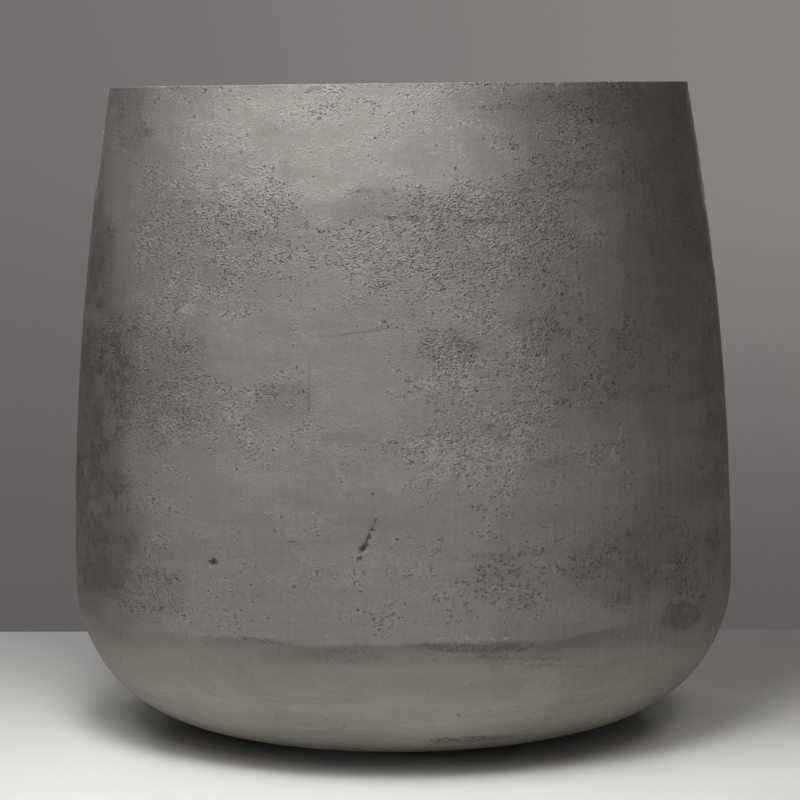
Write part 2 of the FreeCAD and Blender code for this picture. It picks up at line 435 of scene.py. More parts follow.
def lining_outline():
    """The coat inside the pot: its bonded back, its bevelled top edge, and its open face."""
    hole_r = sleeve_high.x + BOND
    back = WALL + BOND
    face = back + LINING
    edge_top = on_wall(back, lining_high.z)
    edge_foot = on_wall(face, lining_high.z - LINING)
    back_lean = angle_from(wall_centre, edge_top)
    face_lean = angle_from(wall_centre, edge_foot)
    back_z = lining_low.z
    return stretches_outline([
        (0, run((hole_r, back_z), (inner_heel[0], back_z), 3)),
        (0, arc(inner_heel, inner_heel_r - BOND, -90, 0, 8)),
        (0, arc(wall_centre, wall_arc_r - back, 0, back_lean, 24)),
        (1, run(edge_top, edge_foot, 3)),
        (1, arc(wall_centre, wall_arc_r - face, face_lean, 0, 60)),
        (1, arc(inner_heel, inner_heel_r - BOND - LINING, 0, -90, 30)),
        (1, run((inner_heel[0], seat_z), (hole_r, seat_z), 26)),
        (0, run((hole_r, seat_z), (hole_r, back_z), 2)),
    ])


def sleeve_outline():
    """The drain's tube and the flange at its top, from half way up the tube's outside and round."""
    flange_r = sleeve_high.x
    half_way = (base_z + floor_z) / 2
    corners = [
        (sleeve_r, half_way, 0),
        (sleeve_r, floor_z, 0),
        (flange_r, floor_z, 0),
        (flange_r, seat_z, 0.0006),
        (DRAIN_BORE_R, seat_z, 0.0008),
        (DRAIN_BORE_R, base_z, 0.0005),
        (sleeve_r, base_z, 0),
        (sleeve_r, half_way, 0),
    ]
    return rounded(corners)


def plug_outline():
    """The rubber stopper, from the middle of its tip up to the dimple in its knob."""
    reach = seat_z - plug_low.z
    spacing = reach / (PLUG_RIBS + 1)
    flat = spacing * PLUG_RIB_SHARE
    slope = (spacing - flat) / 3
    rib_r = DRAIN_BORE_R - PLUG_FIT
    stem_r = rib_r - PLUG_RIB_DEPTH
    head_top = seat_z + PLUG_HEAD_THICKNESS
    knob_foot = head_top + PLUG_NECK_HEIGHT
    knob_top = plug_high.z
    dimple_r = PLUG_KNOB_R / 2
    dimple_depth = 0.0012
    corners = [(0, plug_low.z, 0), (stem_r - PLUG_TIP_TAPER, plug_low.z, 0.0012)]
    for rib in reversed(range(PLUG_RIBS)):
        rib_z = seat_z - (rib + 0.5) * spacing
        groove_r = stem_r - PLUG_TIP_TAPER * rib / PLUG_RIBS
        corners += [
            (groove_r, rib_z - flat / 2 - slope, SOFT_EDGE),
            (rib_r, rib_z - flat / 2, SOFT_EDGE),
            (rib_r, rib_z + flat / 2, SOFT_EDGE),
            (groove_r, rib_z + flat / 2 + slope, SOFT_EDGE),
        ]
    corners += [
        (stem_r, seat_z, 0),
        (plug_high.x, seat_z, 0.0005),
        (plug_high.x, head_top, 0.0018),
        (PLUG_NECK_R, head_top, 0.0022),
        (PLUG_NECK_R, knob_foot, 0.0018),
        (PLUG_KNOB_R, knob_foot, 0.0022),
        (PLUG_KNOB_R, knob_top, 0.0026),
        (dimple_r, knob_top, 0.0008),
        (dimple_r - dimple_depth, knob_top - dimple_depth, 0.0008),
        (0, knob_top - dimple_depth, 0),
    ]
    return rounded(corners)


def foot_outline(radius, height):
    """A rubber disc with round grooves in its underside, from its middle out and up."""
    groove_depth = 0.0009
    groove_slope = 0.0004
    groove_width = 0.0022
    corners = [(0, 0, 0)]
    for groove_r in (0.006, 0.012):
        groove_end = groove_r + groove_width
        corners += [
            (groove_r, 0, SOFT_EDGE),
            (groove_r + groove_slope, groove_depth, SOFT_EDGE),
            (groove_end - groove_slope, groove_depth, SOFT_EDGE),
            (groove_end, 0, SOFT_EDGE),
        ]
    corners += [(radius, 0, 0.0012), (radius, height, 0.0003), (0, height, 0)]
    return rounded(corners)


# Geometry trees


def new_tree(name, inputs):
    """A geometry tree with named inputs, and a board to lay its nodes on."""
    tree = bpy.data.node_groups.new(name, "GeometryNodeTree")
    tree.is_modifier = True
    tree.interface.new_socket("Geometry", in_out="INPUT", socket_type="NodeSocketGeometry")
    for label, kind in inputs.items():
        tree.interface.new_socket(label, in_out="INPUT", socket_type=kind)
    tree.interface.new_socket("Geometry", in_out="OUTPUT", socket_type="NodeSocketGeometry")
    return tree, Board(tree)


def given(board, label):
    """One of the tree's own inputs."""
    return board.add("NodeGroupInput", output=label)


def openness_of(board):
    """The share of a point that is open to the air, as turned_tree keeps it."""
    settings = {"data_type": "FLOAT"}
    return board.add("GeometryNodeInputNamedAttribute", settings, {"Name": "open_air"})


def lip_line(board, place, height):
    """The height as the lip's wavy line sees it."""
    return height + board.mottle(place, (1, 1, 1), 14.0, 5.0, 0.6) * LIP_WAVE


def close_tree(board, geometry):
    """Ends a tree: realizes instances, sets the material and hands the mesh over."""
    geometry = board.add("GeometryNodeRealizeInstances", {}, {"Geometry": geometry})
    material = given(board, "Material")
    geometry = board.add("GeometryNodeSetMaterial", {}, {"Geometry": geometry, "Material": material})
    board.add("NodeGroupOutput", {}, {"Geometry": geometry})


def turned_tree():
    """Turns an outline of points once round an upright axis, and keeps how open each point is.

    Gather draws the columns together round one angle, for finer detail there.
    """
    inputs = {"Segments": "NodeSocketInt", "Centre": "NodeSocketVector", "Crease": "NodeSocketFloat"}
    inputs.update({"Gather": "NodeSocketFloat", "Gather Angle": "NodeSocketFloat"})
    tree, board = new_tree("turned_shape", {**inputs, "Material": "NodeSocketMaterial"})
    outline = given(board, "Geometry")
    segments = given(board, "Segments")
    rows = board.add("GeometryNodeAttributeDomainSize", {}, {"Geometry": outline}, "Point Count")
    sockets = {"Vertices X": segments + 1, "Vertices Y": rows}
    grid = board.add("GeometryNodeMeshGrid", {}, sockets, "Mesh")
    number = board.add("GeometryNodeInputIndex")
    row = number % rows
    column = number.maths("FLOOR", number / rows)
    even = column / segments * math.tau
    apart = even - given(board, "Gather Angle")
    angle = even - given(board, "Gather") * even.maths("SINE", apart)
    place = board.add("GeometryNodeInputPosition")
    openness = openness_of(board)
    sockets = {"Geometry": outline, "Value": place, "Index": row}
    point = board.add("GeometryNodeSampleIndex", {"data_type": "FLOAT_VECTOR"}, sockets)
    sockets = {"Geometry": outline, "Value": openness, "Index": row}
    share = board.add("GeometryNodeSampleIndex", {"data_type": "FLOAT"}, sockets)
    radius = board.part_of(point, "X")
    height = board.part_of(point, "Z")
    x = radius * angle.maths("COSINE", angle)
    y = radius * angle.maths("SINE", angle)
    ring = board.add("ShaderNodeCombineXYZ", {}, {"X": x, "Y": y, "Z": height})
    ring = board.vector("ADD", ring, given(board, "Centre"))
    settings = {"data_type": "FLOAT", "domain": "POINT"}
    sockets = {"Geometry": grid, "Name": "open_air", "Value": share}
    turned = board.add("GeometryNodeStoreNamedAttribute", settings, sockets)
    turned = board.add("GeometryNodeSetPosition", {}, {"Geometry": turned, "Position": ring})
    turned = board.add("GeometryNodeMergeByDistance", {}, {"Geometry": turned, "Distance": 1e-5})
    turned = board.add("GeometryNodeSetShadeSmooth", {}, {"Geometry": turned, "Shade Smooth": True})
    bend = board.add("GeometryNodeInputMeshEdgeAngle", output="Unsigned Angle")
    crease = bend.maths("GREATER_THAN", bend, given(board, "Crease"))
    sockets = {"Geometry": turned, "Selection": crease, "Shade Smooth": False}
    turned = board.add("GeometryNodeSetShadeSmooth", {"domain": "EDGE"}, sockets)
    close_tree(board, turned)
    return tree


def uneven_tree():
    """Sinks a cast or brushed surface by small, uneven depths, and never swells it."""
    labels = ["Wave Depth", "Wave Scale", "Ripple Depth", "Ripple Scale", "Chip Depth", "Chip Height"]
    labels += ["Lip Depth", "Lip Height", "Edge Drop", "Edge Height", "Edge Lean"]
    inputs = dict.fromkeys(labels, "NodeSocketFloat")
    tree, board = new_tree("uneven_surface", {**inputs, "Material": "NodeSocketMaterial"})
    place = board.add("GeometryNodeInputPosition")
    height = board.part_of(place, "Z")
    sideways = board.part_of(place, "X")
    flat = board.vector("MULTIPLY", place, (1.0, 1.0, 1.8))
    wave = board.noise(flat, given(board, "Wave Scale"), 1.0) * given(board, "Wave Depth")
    ripple = board.noise(flat, given(board, "Ripple Scale"), 2.0) * given(board, "Ripple Depth")
    chip_top = given(board, "Chip Height")
    near_edge = board.ease(height, chip_top - CHIPPED_EDGE, chip_top)
    chips = board.ease(board.noise(place, 38.0, 3.0, 0.6), 0.60, 0.72) * near_edge
    lip_z = given(board, "Lip Height")
    below_lip = board.ease(lip_line(board, place, height), lip_z + LIP_EDGE, lip_z - LIP_EDGE)
    below_lip = below_lip * (LIP_KEPT + board.ease(sideways * sideways, *LIP_SIDE) * (1 - LIP_KEPT))
    depth = wave + ripple + chips * given(board, "Chip Depth")
    depth = depth + below_lip * given(board, "Lip Depth")
    depth = depth * (HEEL_KEPT + board.ease(height, *HEEL_EVEN) * (1 - HEEL_KEPT))
    depth = depth * openness_of(board)
    normal = board.add("GeometryNodeInputNormal")
    scaling = {"operation": "SCALE"}
    offset = board.add("ShaderNodeVectorMath", scaling, {0: normal, "Scale": -depth})

    # A brushed edge drops along the leaning wall by an uneven amount
    around = board.vector("MULTIPLY", place, (1.0, 1.0, 0.0))
    edge_z = given(board, "Edge Height")
    drop = board.ease(board.noise(around, 11.0, 4.0, 0.6), 0.30, 0.75) * given(board, "Edge Drop")
    drop = drop * board.ease(height, edge_z - 0.06, edge_z - 0.004)
    lean = given(board, "Edge Lean")
    lean = board.add("ShaderNodeCombineXYZ", {}, {"X": lean, "Y": lean})
    outward = board.vector("MULTIPLY", board.vector("NORMALIZE", around), lean)
    along_wall = board.vector("SUBTRACT", outward, (0.0, 0.0, 1.0))
    dropped = board.add("ShaderNodeVectorMath", scaling, {0: along_wall, "Scale": drop})
    offset = board.vector("ADD", offset, dropped)
    geometry = given(board, "Geometry")
    sockets = {"Geometry": geometry, "Offset": offset}
    close_tree(board, board.add("GeometryNodeSetPosition", {}, sockets))
    return tree


def voids_tree():
    """Sinks the voids into the front of the wall."""
    inputs = {"Raggedness": "NodeSocketFloat", "Material": "NodeSocketMaterial"}
    tree, board = new_tree("air_voids", inputs)
    place = board.add("GeometryNodeInputPosition")
    ragged = board.add("ShaderNodeTexNoise", {}, {"Vector": place, "Scale": 300.0}, "Color")
    ragged = board.vector("SUBTRACT", ragged, (0.5, 0.5, 0.5))
    scaling = {"operation": "SCALE"}
    sockets = {0: ragged, "Scale": given(board, "Raggedness")}
    ragged = board.vector("ADD", place, board.add("ShaderNodeVectorMath", scaling, sockets))
    depth = 0.0
    for x, height, half_length, half_width, tilt, sunk in VOIDS:
        settings = {"rotation_type": "Y_AXIS"}
        sockets = {"Vector": ragged, "Center": (x, -belly_r, height), "Angle": math.radians(tilt)}
        away = board.add("ShaderNodeVectorRotate", settings, sockets)
        away = board.vector("SUBTRACT", away, (x, -belly_r, height))
        away = board.vector("DIVIDE", away, (half_length, belly_r, half_width))
        away = board.vector("LENGTH", away, output="Value")
        depth = depth + board.ease(away, 1.2, 0.4) * sunk
    normal = board.add("GeometryNodeInputNormal")
    sockets = {0: normal, "Scale": -(depth * openness_of(board))}
    offset = board.add("ShaderNodeVectorMath", scaling, sockets)
    geometry = given(board, "Geometry")
    sockets = {"Geometry": geometry, "Offset": offset}
    close_tree(board, board.add("GeometryNodeSetPosition", {}, sockets))
    return tree


TURNED = turned_tree()
UNEVEN = uneven_tree()
VOIDED = voids_tree()


def grow(name, outline, open_air, steps):
    """A piece grown from an outline by geometry trees, as a plain mesh."""
    mesh = bpy.data.meshes.new(name)
    points = [(distance, 0.0, height) for distance, height in outline]
    mesh.from_pydata(points, [(i, i + 1) for i in range(len(points) - 1)], [])
    mesh.attributes.new("open_air", "FLOAT", "POINT").data.foreach_set("value", open_air)
    piece = bpy.data.objects.new(name, mesh)
    bpy.context.scene.collection.objects.link(piece)
    for tree, values in steps:
        modifier = piece.modifiers.new(tree.name, "NODES")
        modifier.node_group = tree
        for item in tree.interface.items_tree:
            if item.in_out == "INPUT" and item.name in values:
                modifier[item.identifier] = values[item.name]
    seen = piece.evaluated_get(bpy.context.evaluated_depsgraph_get())
    finished = bpy.data.meshes.new_from_object(seen)
    piece.modifiers.clear()
    finished.materials.pop(index=0)
    piece.data = finished
    bpy.data.meshes.remove(mesh)
    return piece


# Where a patch ends and over how much of its half size it fades, and how far its outline wanders:
# pairs of noise scale and reach
PATCH_END = 1.3
PATCH_FADE = 0.6
PATCH_WANDER = ((16.0, 0.022), (55.0, 0.010))
PATCH_UPRIGHT_WANDER = 0.6
SIDE_BLEND = 0.12  # width of the band at each side where the front's patches give way to the back's


def patches_at(sideways, height):
    """The tone and the pitting that the broad patches give at points of one side of the wall."""
    tone = numpy.zeros(len(height))
    pitting = numpy.zeros(len(height))
    for x, z, half_width, half_height, shade, pits in PATCHES:
        across = numpy.abs((sideways - x) / half_width)
        along = numpy.abs((height - z) / half_height)
        away = (across**3 + along**3) ** (1 / 3)
        share = numpy.clip((PATCH_END - away) / PATCH_FADE, 0, 1)
        share = share * share * (3 - 2 * share)
        tone += shade * share
        pitting += pits * share
    return numpy.array([tone, pitting])


def paint_patches(piece):
    """Stores the patches' tone and pitting on a piece's points, turned half round at the back."""
    count = len(piece.data.vertices)
    flat = numpy.empty(count * 3)
    piece.data.vertices.foreach_get("co", flat)
    places = flat.reshape(count, 3)
    noise.seed_set(PATCH_SEED)
    wobble = numpy.zeros((count, 3))
    for scale, reach in PATCH_WANDER:
        wobble += numpy.array([noise.noise_vector(Vector(place) * scale) for place in places]) * reach
    height = places[:, 2] + wobble[:, 2] * PATCH_UPRIGHT_WANDER
    front = patches_at(places[:, 0] + wobble[:, 0], height)
    back = patches_at(wobble[:, 0] - places[:, 0], height)
    toward_back = numpy.clip(places[:, 1] / SIDE_BLEND + 0.5, 0, 1)
    tone, pitting = front + (back - front) * toward_back
    for name, values in (("tone", tone), ("pitting", pitting)):
        layer = piece.data.attributes.new(name, "FLOAT", "POINT")
        layer.data.foreach_set("value", values)


def stand_for(piece, body, node):
    """The piece moves with a body, and takes the place of one of its nodes."""
    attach(piece, body)
    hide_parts(node)


# Finishes


def new_finish(name):
    material = bpy.data.materials.new(name)
    material.use_nodes = True
    material.node_tree.nodes.clear()
    return material, Board(material.node_tree)


def close_finish(board, sockets):
    shader = board.add("ShaderNodeBsdfPrincipled", {}, sockets, "BSDF")
    board.add("ShaderNodeOutputMaterial", {}, {"Surface": shader})


def mark(board, place, x, height, half_length, half_width, tilt=0.0):
    """1 in the middle of a mark on the pot's front, 0 outside it."""
    sockets = {"Vector": place, "Location": (x, -belly_r, height)}
    sockets["Rotation"] = (0, -math.radians(tilt), 0)
    sockets["Scale"] = (half_length, belly_r, half_width)
    inside = board.add("ShaderNodeMapping", {"vector_type": "TEXTURE"}, sockets)
    return board.ease(board.vector("LENGTH", inside, output="Value"), 1.0, 0.55)


def fibre_cement():
    """Trowelled cement: patches, level bands, open pores, scratches and a warm, pale heel, with painted
    shade at the wall's sides, low down, under the lip, in the pits and pores and along the rim, and
    painted bounce light in the heel.
    """
    material, board = new_finish("trowelled_cement")
    place = board.add("ShaderNodeTexCoord", output="Object")
    height = board.part_of(place, "Z")
    tone = board.add("ShaderNodeAttribute", {"attribute_name": "tone"}, output="Fac")
    pitting = board.add("ShaderNodeAttribute", {"attribute_name": "pitting"}, output="Fac")

    mottles = [board.mottle(place, *row) for row in MOTTLING.values()]
    clouds, bands, blotches, crumbs, sand, layers, brushed = mottles

    # Skim coats laid over each other by the trowel, each a little paler or darker than the next
    swept = board.stray(place, place, (0.06, 0.06, 0.035), 18.0, 4.0, 0.6)
    sockets = {"Vector": board.vector("MULTIPLY", swept, (1, 1, 2.2)), "Scale": SKIM_SCALE}
    skims = board.add("ShaderNodeTexVoronoi", {}, sockets, "Color")
    skims = board.add("ShaderNodeSeparateColor", {}, {"Color": skims}, "Red") - 0.5

    # Where the smooth skin is thin or worn away, and the grains and pores that show there
    walled = board.ease(height, LIP_HEIGHT - 0.012, LIP_HEIGHT + 0.025) * 0.88 + 0.12
    thin = 0.47 + pitting * 0.40 + clouds * 0.5 + bands * 0.6 + layers * 0.5
    thin = thin + blotches * 1.7 + crumbs * 1.6 + skims * 0.2
    worn = (board.ease(thin, -0.1, 1.25) * 0.85 + board.ease(thin, 0.55, 0.80) * 0.15) * walled
    sockets = {"Vector": board.vector("MULTIPLY", place, (1, 1, 1.2)), "Scale": PIT_SCALE}
    apart = board.add("ShaderNodeTexVoronoi", {}, sockets, "Distance")
    luck = board.add("ShaderNodeSeparateColor", {}, {"Color": apart.beside("Color")}, "Red")
    grains = luck.beside("Green") - 0.5
    pits = board.ease(board.ease(worn, 0.26, 0.90) * 0.42 - luck, -0.03, 0.03)
    pits = board.ease(apart, 0.70, 0.25) * pits
    jagged = board.stray(place, place, (0.010, 0, 0.008), 420.0)
    clumped = board.ease(blotches * 1.2 + crumbs * 1.4, -0.05, 0.30) * worn
    sockets = {"Vector": board.vector("MULTIPLY", jagged, (1, 1, 2.0)), "Scale": PORE_SCALE}
    apart = board.add("ShaderNodeTexVoronoi", {}, sockets, "Distance")
    luck = board.add("ShaderNodeSeparateColor", {}, {"Color": apart.beside("Color")}, "Red")
    pores = board.ease(apart, 0.18 + luck.beside("Green") * 0.30, 0.10)
    pores = pores * board.ease(clumped * 0.75 - luck, -0.03, 0.03)

    # The lip, with a painted shadow under it, and the marks
    sideways = board.part_of(place, "X")
    wavy = lip_line(board, place, height)
    # painted shadow under the wavy lip: darkest just below it, fading downward and towards the sides
    painted_lip_shadow = board.ease(wavy, LIP_HEIGHT - 0.024, LIP_HEIGHT - 0.001)
    painted_lip_shadow = painted_lip_shadow * board.ease(wavy, LIP_HEIGHT + 0.005, LIP_HEIGHT)
    painted_lip_shadow = painted_lip_shadow * board.ease(sideways * sideways, *LIP_SIDE)
    heel = board.ease(height, LIP_HEIGHT, 0.05)
    facing = sideways.maths("SIGN", sideways.beside("Y")) * -1.0
    round_back = board.add("ShaderNodeCombineXYZ", {}, {"X": facing, "Y": facing, "Z": 1.0})
    marked = board.vector("MULTIPLY", place, round_back)
    ragged = board.stray(marked, place, (0.012, 0, 0.008), 170.0)
    drawn = 0.0
    for x, z, half_length, half_width, tilt, strength in STREAKS:
        drawn = drawn + mark(board, ragged, x, z, half_length, half_width, tilt) * strength
    drawn = drawn * board.ease(sand * 1.3 + crumbs * 1.2, -0.16, 0.18)
    broken = board.ease(blotches + crumbs, -0.15, 0.10) * 0.8 + 0.4
    for x, z, half_length, half_width, tilt, strength in SCRATCHES:
        drawn = drawn + mark(board, marked, x, z, half_length, half_width, tilt) * strength * broken
    hollow = 0.0
    for x, z, half_length, half_width, tilt, _ in VOIDS:
        hollow = hollow + mark(board, jagged, x, z + half_width * 0.25, half_length, half_width, tilt)

    # Colour: one grey scale, paler and warmer at the heel, partly its own tone and partly painted
    # bounce light from the pale floor
    flecks = board.ease(blotches + crumbs * 0.6, -0.16, 0.16) - 0.5
    # Darker along the rim's top edge: dirt in patches there, and painted shade that dims the lit
    # rounding of the edge all round
    rim_dirt_and_shade = board.ease(height, rim_z - 0.006, rim_z - 0.001)
    rim_dirt_and_shade = rim_dirt_and_shade * (0.10 + board.ease(board.noise(place, 70.0, 4.0, 0.65), 0.45, 0.70) * 0.30)
    shade = tone * (1 + flecks * (0.5 + worn)) + clouds * 0.35 + bands * 0.34 + skims * 0.11
    shade = shade + (blotches * 0.50 + crumbs * 0.42) * (0.35 + worn * 0.9)
    shade = shade + (sand * 0.70 + grains * 0.36) * (0.10 + worn * 0.90)
    shaded_side = board.ease(sideways, 0.06, 0.24)
    shade = shade + brushed * (0.10 + shaded_side * 0.22)
    # painted light and shade in this line: the heel paler, partly its own tone and partly painted
    # bounce light from the floor; painted shadow under the lip; dirt and painted shade along the rim
    shade = shade + heel * (0.21 + layers * 0.45) - painted_lip_shadow * 0.26 - rim_dirt_and_shade + worn * 0.08 + 0.005
    # painted shade in the pits and pores: darker in colour as well as sunk by the bumps, less so on the
    # shaded side
    shade = shade + drawn - (pits * 0.46 + pores * 0.66) * (1 - shaded_side * 0.4)
    colour = board.blend(0.5 + shade * 0.92, DARK_CEMENT, PALE_CEMENT)
    # the heel's warmth: partly its own colour, partly painted warm bounce light from the floor
    warm = board.blend(1.0, colour, WARM_HEEL_AND_BOUNCE, "MULTIPLY")
    colour = board.blend(heel * 0.75, colour, warm)
    colour = board.blend(hollow * 0.85, colour, VOID_SHADOW)

    sockets = {"Strength": 0.08 + worn * 1.0, "Distance": 0.0020, "Height": sand - pits * 0.40}
    sandy = board.add("ShaderNodeBump", {}, sockets)
    sockets = {"Strength": 0.9, "Distance": 0.0016, "Height": -pores, "Normal": sandy}
    normal = board.add("ShaderNodeBump", {}, sockets)
    sockets = {"Base Color": colour, "Roughness": 0.60 + worn * 0.2 + clouds * 0.15, "Normal": normal}
    close_finish(board, sockets)
    return material


def moulded_rubber(name, colour):
    """Black rubber: fine moulded grain, a bloom of dust, and rubbed, darker spots."""
    material, board = new_finish(name)
    place = board.add("ShaderNodeTexCoord", output="Object")
    grain = board.noise(place, 1300.0, 3.0, 0.65) - 0.5
    bloom = board.ease(board.noise(place, 95.0, 4.0, 0.6), 0.40, 0.72)
    rubbed = board.ease(board.mottle(place, (1, 1, 3), 210.0, 3.0), 0.06, 0.16)
    dusty = tuple(channel * 2.2 + 0.018 for channel in colour[:3]) + (1,)
    dark = tuple(channel * 0.6 for channel in colour[:3]) + (1,)
    shown = board.blend(bloom * 0.8 + grain * 0.3, colour, dusty)
    shown = board.blend(rubbed * 0.6, shown, dark)
    normal = board.add("ShaderNodeBump", {}, {"Strength": 0.45, "Distance": 0.0003, "Height": grain})
    sockets = {"Base Color": shown, "Roughness": 0.58 + bloom * 0.25 - rubbed * 0.16, "Normal": normal}
    close_finish(board, sockets)
    return material


def resin_coat():
    """Dark resin brushed over fibre mat: level strokes, strands that show through, dust low down."""
    material, board = new_finish("brushed_resin")
    place = board.add("ShaderNodeTexCoord", output="Object")
    height = board.part_of(place, "Z")
    clouds = board.noise(place, 8.0, 3.0) - 0.5
    strokes = board.mottle(place, (1, 1, 16), 22.0, 4.0, 0.65)
    first = board.noise(board.vector("MULTIPLY", place, (1, 1, 0.35)), 150.0, 2.0, 0.5, 1.2) - 0.5
    second = board.noise(board.vector("MULTIPLY", place, (0.4, 0.4, 1.2)), 190.0, 2.0, 0.5, 1.2) - 0.5
    strands = board.ease(first * first, 0.0016, 0.0) + board.ease(second * second, 0.0016, 0.0)
    bare = board.ease(clouds + strokes * 0.7, -0.05, 0.25)
    dust = board.ease(height, 0.20, 0.03) * board.ease(board.noise(place, 34.0, 4.0, 0.6), 0.38, 0.68)
    colour = board.blend(0.5 + clouds * 0.9 + strokes * 0.8, DARK_RESIN, PALE_RESIN)
    colour = board.blend(strands * bare * 0.45, colour, FIBRE_STRAND)
    colour = board.blend(dust * 0.5, colour, RESIN_DUST)
    relief = strokes * 0.8 + strands * bare * 0.25
    normal = board.add("ShaderNodeBump", {}, {"Strength": 0.6, "Distance": 0.0010, "Height": relief})
    sockets = {"Base Color": colour, "Roughness": 0.40 + strokes * 0.25 + dust * 0.30, "Normal": normal}
    close_finish(board, sockets)
    return material


def grey_plastic():
    """Moulded grey plastic: fine grain, rings left by the mould, scuffs and a film of dust."""
    material, board = new_finish("grey_plastic")
    place = board.add("ShaderNodeTexCoord", output="Object")
    flat = board.vector("MULTIPLY", place, (1, 1, 0))
    from_axis = board.vector("LENGTH", flat, output="Value")
    rings = from_axis.maths("SINE", from_axis * 5200.0)
    grain = board.noise(place, 1500.0, 2.0, 0.6) - 0.5
    clouds = board.noise(place, 70.0, 3.0) - 0.5
    scuffs = board.ease(board.mottle(place, (1, 4, 1), 240.0, 3.0, 0.6), 0.08, 0.18)
    dust = board.ease(board.noise(place, 110.0, 4.0, 0.65), 0.46, 0.70)
    colour = board.blend(0.5 + clouds * 0.9 + grain * 0.4, DARK_PLASTIC, PALE_PLASTIC)
    colour = board.blend(scuffs * 0.5, colour, PLASTIC_SCUFF)
    colour = board.blend(dust * 0.35, colour, PLASTIC_DUST)
    sockets = {"Strength": 0.35, "Distance": 0.0003, "Height": grain + rings * 0.25}
    normal = board.add("ShaderNodeBump", {}, sockets)
    sockets = {"Base Color": colour, "Roughness": 0.42 + scuffs * 0.15 + dust * 0.2, "Normal": normal}
    close_finish(board, sockets)
    return material


# Pieces


def make_pieces():
    cement = fibre_cement()
    outline, open_air = shell_outline()
    turning = {"Segments": 420, "Centre": (0, 0, 0), "Crease": math.radians(50), "Material": cement}
    turning.update({"Gather": 0.55, "Gather Angle": math.radians(252)})
    uneven = {"Wave Depth": 0.0012, "Wave Scale": 7.0, "Ripple Depth": 0.0009, "Ripple Scale": 45.0}
    uneven.update({"Chip Depth": 0.0016, "Chip Height": rim_z, "Material": cement})
    uneven.update({"Lip Depth": LIP_DEPTH, "Lip Height": LIP_HEIGHT})
    uneven.update({"Edge Drop": 0.0, "Edge Height": rim_z, "Edge Lean": 0.0})
    voided = {"Raggedness": 0.004, "Material": cement}
    shell = grow("cast_pot", outline, open_air, [(TURNED, turning), (UNEVEN, uneven), (VOIDED, voided)])
    paint_patches(shell)
    stand_for(shell, "pot", "pot_shell")

    coat = resin_coat()
    outline, open_air = lining_outline()
    turning = {**turning, "Segments": 300, "Gather": 0.0, "Material": coat}
    uneven = {"Wave Depth": 0.0006, "Wave Scale": 12.0, "Ripple Depth": 0.0008, "Ripple Scale": 60.0}
    uneven.update({"Chip Depth": 0.0, "Chip Height": rim_z, "Material": coat})
    uneven.update({"Lip Depth": 0.0, "Lip Height": LIP_HEIGHT})
    edge_lean = (lining_high.z - belly_z) / wall_arc_r
    uneven.update({"Edge Drop": 0.009, "Edge Height": lining_high.z, "Edge Lean": edge_lean})
    lining = grow("lining_coat", outline, open_air, [(TURNED, turning), (UNEVEN, uneven)])
    stand_for(lining, "pot", "inner_lining")

    turning = {**turning, "Segments": 96, "Crease": math.radians(35)}
    outline = sleeve_outline()
    turning["Material"] = grey_plastic()
    sleeve = grow("drain_tube", outline, [1] * len(outline), [(TURNED, turning)])
    stand_for(sleeve, "pot", "drain_sleeve")

    outline = plug_outline()
    turning["Material"] = moulded_rubber("stopper_rubber", PLUG_BLACK)
    plug = grow("rubber_plug", outline, [1] * len(outline), [(TURNED, turning)])
    stand_for(plug, "plug", "drain_plug")

    turning["Material"] = moulded_rubber("pad_rubber", FOOT_BLACK)
    for number, node in enumerate(FOOT_NAMES, 1):
        low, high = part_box(node)
        middle = (low + high) / 2
        outline = foot_outline((high.x - low.x) / 2, high.z - low.z)
        turning["Centre"] = (middle.x, middle.y, 0)
        foot = grow(f"rubber_foot_{number}", outline, [1] * len(outline), [(TURNED, turning)])
        stand_for(foot, "pot", node)


make_pieces()

# Floor, light and camera

FLOOR_BACK_EDGE = 0.380
FLOOR_BACK_SKEW = 0.042  # how far the back edge turns away from level, per metre
FLOOR_REACH = 1.3
FLOOR_DARK = (0.875, 0.865, 0.835, 1)
FLOOR_PALE = (0.895, 0.885, 0.855, 1)
BACKDROP_LOW = (0.121, 0.110, 0.108, 1)
BACKDROP_LEFT = (0.178, 0.165, 0.162, 1)
BACKDROP_RIGHT = (0.246, 0.226, 0.217, 1)
BACKDROP_LIGHT = (0.012, 0.012, 0.012, 1)  # what the backdrop sheds on the scene
MIDDLE_OF_POT = (0, 0, 0.3)
BACK_OF_POT = (0, 0.25, 0.46)
WIDE = 180.0
WHITE = (1, 1, 1)
WARM = (1.0, 0.93, 0.88)

